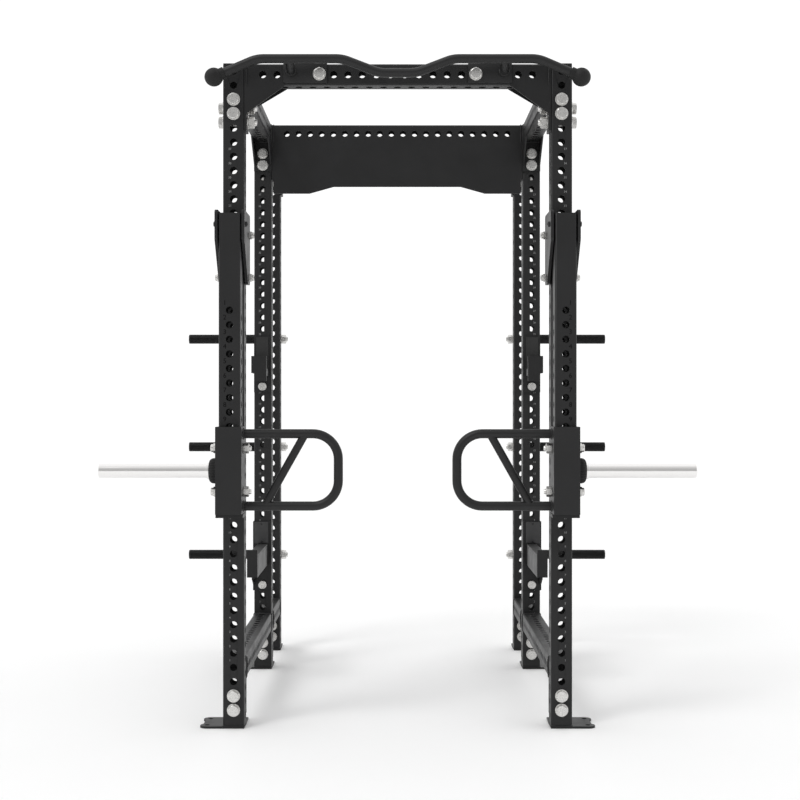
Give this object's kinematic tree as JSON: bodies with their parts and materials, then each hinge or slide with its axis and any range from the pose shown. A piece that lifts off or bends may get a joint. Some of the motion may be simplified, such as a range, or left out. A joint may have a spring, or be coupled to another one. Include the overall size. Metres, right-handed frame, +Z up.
{
  "type": "power cage",
  "caption": "Six-post power cage of drilled square tube with two swinging lever arms, pull-up bar, bar cups, safety arms and plate pegs.",
  "frame": {"origin": "centre of the bounding box on the floor", "axes": "+X to the right seen from the front, +Y towards the back, +Z up"},
  "size_m": [2.064, 1.951, 2.3545],
  "materials": {
    "black_frame": "matte black powder coat",
    "black_steel": "satin black oxide",
    "black_plastic": "fine-grained matte",
    "grey_plastic": "matte",
    "zinc_steel": "zinc plated, satin",
    "rubber": "ribbed matte",
    "chrome": "polished hard chrome"
  },
  "bodies": {
    "frame": {"upright_front_right": "black_frame", "upright_front_left": "black_frame", "upright_middle_right": "black_frame", "upright_middle_left": "black_frame", "upright_rear_right": "black_frame", "upright_rear_left": "black_frame", "foot_plates": "black_frame", "upright_caps": "black_plastic", "crossmember_front": "black_frame", "crossmember_rear": "black_frame", "header_crossmember": "black_frame", "beam_front_top_right": "black_frame", "beam_front_top_left": "black_frame", "beam_front_low_right": "black_frame", "beam_front_low_left": "black_frame", "beam_rear_top_right": "black_frame", "beam_rear_top_left": "black_frame", "beam_rear_low_right": "black_frame", "beam_rear_low_left": "black_frame", "storage_pegs_right": "black_frame", "storage_pegs_left": "black_frame", "frame_bolts": "zinc_steel", "frame_washers": "zinc_steel", "frame_nuts": "zinc_steel", "pull_up_bar": "black_frame", "pull_up_bar_balls": "black_plastic", "pivot_bracket_outer_right": "black_frame", "pivot_bracket_outer_left": "black_frame", "pivot_bracket_inner_right": "black_frame", "pivot_bracket_inner_left": "black_frame", "bracket_liners": "black_plastic", "pivot_pins": "black_steel", "bracket_bolts": "zinc_steel", "thrust_washers": "black_plastic", "bar_cup_right": "black_frame", "bar_cup_liner_right": "black_plastic", "safety_arm_right": "black_frame", "bar_cup_left": "black_frame", "bar_cup_liner_left": "black_plastic", "safety_arm_left": "black_frame", "safety_arm_liners": "black_plastic", "safety_arm_pads": "grey_plastic", "pad_screws": "zinc_steel"},
    "lever_right": {"lever_arm_right": "black_frame", "carriage_right": "black_frame", "handle_right": "black_frame", "carriage_bolts_right": "zinc_steel", "bumper_right": "rubber", "weight_sleeve_right": "chrome"},
    "cup_pin_right": {"bar_cup_pin_right": "zinc_steel"},
    "safety_pin_right": {"safety_arm_pin_right": "zinc_steel"},
    "lever_left": {"lever_arm_left": "black_frame", "carriage_left": "black_frame", "handle_left": "black_frame", "carriage_bolts_left": "zinc_steel", "bumper_left": "rubber", "weight_sleeve_left": "chrome"},
    "cup_pin_left": {"bar_cup_pin_left": "zinc_steel"},
    "safety_pin_left": {"safety_arm_pin_left": "zinc_steel"}
  },
  "joints": [
    {"name": "lever_swing_right", "type": "hinge", "parent": "frame", "child": "lever_right", "pos_m": [0.5775, -0.9, 1.765], "axis": [-1, 0, 0], "range_deg": [-2, 120]},
    {"name": "cup_pin_slide_right", "type": "slide", "parent": "frame", "child": "cup_pin_right", "axis": [0, -1, 0], "range_m": [0, 0.1]},
    {"name": "safety_pin_slide_right", "type": "slide", "parent": "frame", "child": "safety_pin_right", "axis": [0, -1, 0], "range_m": [0, 0.1]},
    {"name": "lever_swing_left", "type": "hinge", "parent": "frame", "child": "lever_left", "pos_m": [-0.5775, -0.9, 1.765], "axis": [-1, 0, 0], "range_deg": [-2, 120]},
    {"name": "cup_pin_slide_left", "type": "slide", "parent": "frame", "child": "cup_pin_left", "axis": [0, -1, 0], "range_m": [0, 0.1]},
    {"name": "safety_pin_slide_left", "type": "slide", "parent": "frame", "child": "safety_pin_left", "axis": [0, -1, 0], "range_m": [0, 0.1]}
  ]
}
